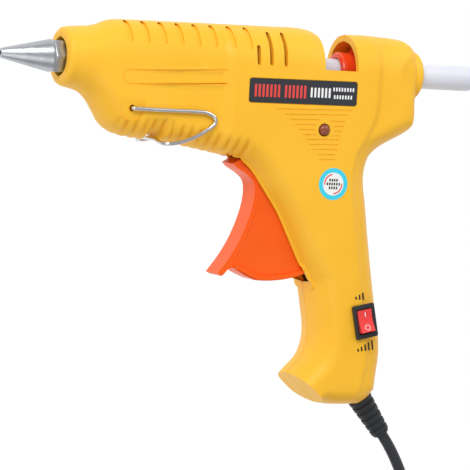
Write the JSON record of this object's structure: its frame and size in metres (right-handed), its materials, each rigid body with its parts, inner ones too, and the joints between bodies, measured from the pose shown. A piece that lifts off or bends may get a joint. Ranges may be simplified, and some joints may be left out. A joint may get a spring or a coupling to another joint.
{
  "type": "hot melt glue gun",
  "caption": "Corded hot-melt glue gun with a front nozzle, hinged squeeze trigger, folding wire stand, rocker switch and a glue stick through a top window.",
  "frame": {"origin": "the point of the surface the gun lies on, under its right side and the glue stick's line, a little behind the middle of the barrel", "axes": "+X back along the glue stick, the nozzle pointing to -X; +Y the gun's own up, the handle going to -Y; +Z across the gun, the switch side up"},
  "size_m": [0.2262, 0.2977, 0.0362],
  "materials": {
    "yellow_plastic": "satin moulded",
    "orange_plastic": "satin moulded",
    "red_plastic": "glossy moulded",
    "black_plastic": "matte moulded",
    "black_rubber": "matte",
    "silicone": "matte",
    "steel": "drawn",
    "aluminium": "turned and plated",
    "brass": "plated",
    "glue": "translucent",
    "red_lens": "clear moulded",
    "label_dark": "printed foil",
    "ceramic": "fired",
    "circuit_board": "laminate",
    "wire_red": "sleeved",
    "wire_black": "sleeved"
  },
  "bodies": {
    "housing": {"left_housing": "yellow_plastic", "right_housing": "yellow_plastic", "switch_body": "black_plastic", "cord_clamp": "black_plastic", "coil_tie": "black_plastic", "plug": "black_plastic", "strain_relief": "black_rubber", "mains_cord": "black_rubber", "cord_coil": "black_rubber", "cord_tail": "black_rubber", "inlet_sleeve": "silicone", "check_spring": "steel", "heater_clip": "steel", "sleeve_clamp": "steel", "return_spring": "steel", "trigger_pin": "steel", "housing_screw_1": "steel", "housing_screw_2": "steel", "housing_screw_3": "steel", "housing_screw_4": "steel", "housing_screw_5": "steel", "nozzle": "aluminium", "melt_chamber": "aluminium", "plug_pin_1": "brass", "plug_pin_2": "brass", "led_lens": "red_lens", "label_plate": "label_dark", "insulator_ring": "ceramic", "heater_element": "ceramic", "indicator_board": "circuit_board", "live_wire": "wire_red", "neutral_wire": "wire_black"},
    "trigger": {"trigger": "orange_plastic"},
    "carriage": {"carriage": "red_plastic", "drive_pin": "steel", "gripper_pin": "steel"},
    "gripper": {"gripper": "steel"},
    "glue_stick": {"glue_stick": "glue"},
    "wire_stand": {"wire_stand": "steel"},
    "switch_rocker": {"switch_rocker": "red_plastic"},
    "check_ball": {"check_ball": "steel"}
  },
  "joints": [
    {"name": "trigger_squeeze", "type": "hinge", "parent": "housing", "child": "trigger", "pos_m": [0.003, -0.0355, 0.01615], "axis": [0, 0, 1], "range_deg": [0, 16], "stiffness_Nm_per_rad": 0.6, "springref_deg": -8.59},
    {"name": "carriage_slide", "type": "slide", "parent": "housing", "child": "carriage", "axis": [-1, 0, 0], "range_m": [0, 0.0063], "deforming": ["return_spring"]},
    {"name": "gripper_tilt", "type": "hinge", "parent": "carriage", "child": "gripper", "pos_m": [0.0415, -0.0122, 0.01615], "axis": [0, 0, 1], "range_deg": [-5, 0]},
    {"name": "stick_feed", "type": "slide", "parent": "housing", "child": "glue_stick", "axis": [1, 0, 0], "range_m": [-0.02, 0.15]},
    {"name": "stand_fold", "type": "hinge", "parent": "housing", "child": "wire_stand", "pos_m": [-0.068, -0.02, 0.01615], "axis": [0, 0, 1], "range_deg": [-110, 0]},
    {"name": "switch_rock", "type": "hinge", "parent": "housing", "child": "switch_rocker", "pos_m": [0.0482, -0.1086, 0.0328], "axis": [0.9751, 0.2215, 0], "range_deg": [0, 16]},
    {"name": "ball_lift", "type": "slide", "parent": "housing", "child": "check_ball", "axis": [-1, 0, 0], "range_m": [0, 0.001], "stiffness_N_per_m": 40}
  ],
  "couplings": [
    {"joint": "carriage_slide", "follows": "trigger_squeeze", "m_per_rad": 0.0223},
    {"joint": "gripper_tilt", "follows": "trigger_squeeze", "ratio": -0.3}
  ]
}
